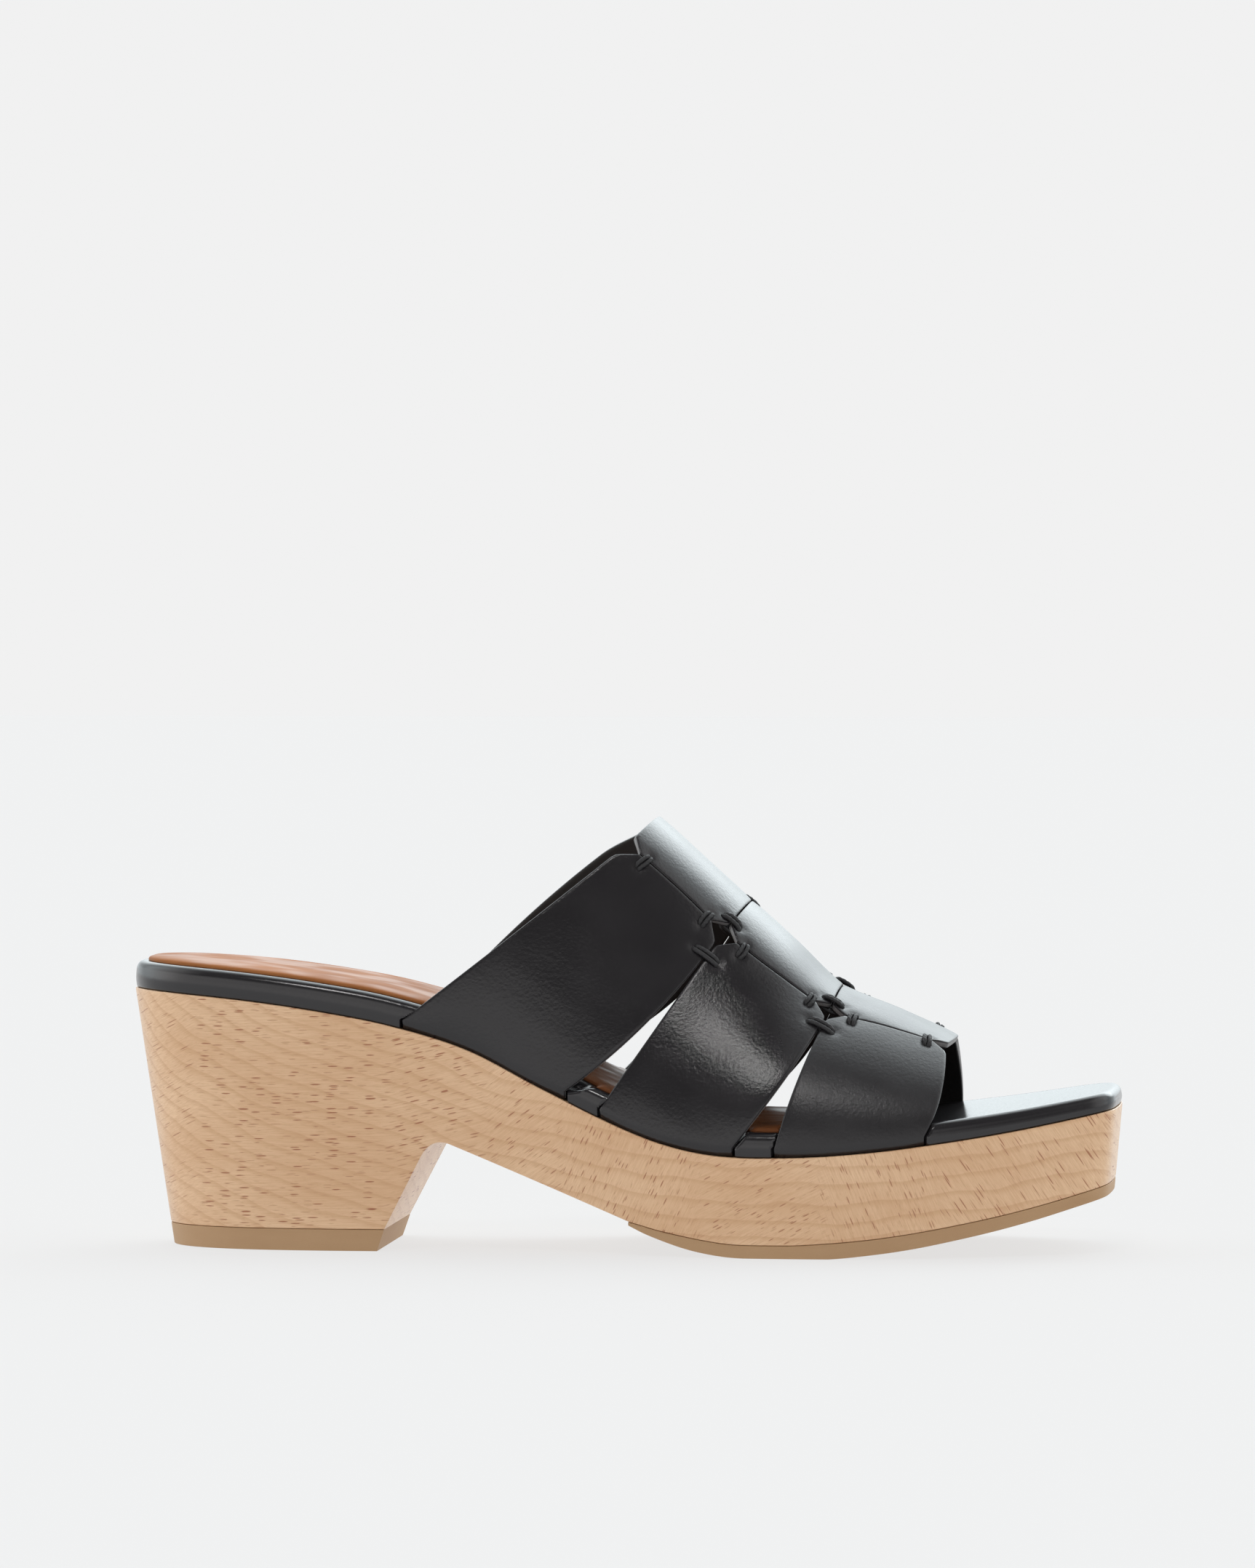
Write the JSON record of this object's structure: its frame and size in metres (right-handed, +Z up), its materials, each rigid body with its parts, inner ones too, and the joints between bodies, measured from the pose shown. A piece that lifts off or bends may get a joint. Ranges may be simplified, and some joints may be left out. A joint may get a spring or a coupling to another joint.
{
  "type": "wooden clog",
  "caption": "Open-toe wooden clog for a right foot: shaped beech sole with a block heel, rubber treads, padded footbed and a patchwork leather upper tied with cord.",
  "frame": {"origin": "on the floor, under the middle of the whole shoe's length and width", "axes": "+X towards the toe, +Z up, +Y towards the big-toe side (the inner side of a right foot)"},
  "size_m": [0.2492, 0.091, 0.108],
  "materials": {
    "beech": "fine sanded, clear satin finish, short brown ray flecks",
    "rubber": "matte caramel rubber",
    "black_leather": "smooth black leather, semi-gloss, fine grain",
    "tan_leather": "smooth tan leather, glossy",
    "waxed_cord": "black waxed cotton cord",
    "board": "bonded leather board, hidden",
    "cork": "granulated cork, hidden",
    "foam": "soft foam padding, hidden",
    "steel": "bright steel nails and tacks, hidden"
  },
  "bodies": {
    "root": {"wood_sole": "beech", "forefoot_outsole": "rubber", "heel_top_piece": "rubber", "heel_nail_1": "steel", "heel_nail_2": "steel", "heel_nail_3": "steel", "heel_nail_4": "steel", "bottom_filler": "cork", "insole_board": "board", "footbed_foam": "foam", "footbed_cover": "black_leather", "insole_sock": "tan_leather", "vamp_panel_rear": "black_leather", "lateral_strap_rear": "black_leather", "medial_strap_rear": "black_leather", "vamp_panel_middle": "black_leather", "lateral_strap_middle": "black_leather", "medial_strap_middle": "black_leather", "vamp_panel_front": "black_leather", "lateral_strap_front": "black_leather", "medial_strap_front": "black_leather", "lateral_tie_rear_1": "waxed_cord", "lateral_tack_rear_1": "steel", "lateral_tie_rear_2": "waxed_cord", "lateral_tack_rear_2": "steel", "lateral_tie_middle_1": "waxed_cord", "lateral_tack_middle_1": "steel", "lateral_tie_middle_2": "waxed_cord", "lateral_tack_middle_2": "steel", "lateral_tie_front_1": "waxed_cord", "lateral_tack_front_1": "steel", "lateral_tie_front_2": "waxed_cord", "lateral_tack_front_2": "steel", "lateral_tie_panels_1": "waxed_cord", "lateral_tie_straps_1": "waxed_cord", "lateral_tie_panels_2": "waxed_cord", "lateral_tie_straps_2": "waxed_cord", "medial_tie_rear_1": "waxed_cord", "medial_tack_rear_1": "steel", "medial_tie_rear_2": "waxed_cord", "medial_tack_rear_2": "steel", "medial_tie_middle_1": "waxed_cord", "medial_tack_middle_1": "steel", "medial_tie_middle_2": "waxed_cord", "medial_tack_middle_2": "steel", "medial_tie_front_1": "waxed_cord", "medial_tack_front_1": "steel", "medial_tie_front_2": "waxed_cord", "medial_tack_front_2": "steel", "medial_tie_panels_1": "waxed_cord", "medial_tie_straps_1": "waxed_cord", "medial_tie_panels_2": "waxed_cord", "medial_tie_straps_2": "waxed_cord"}
  },
  "joints": []
}
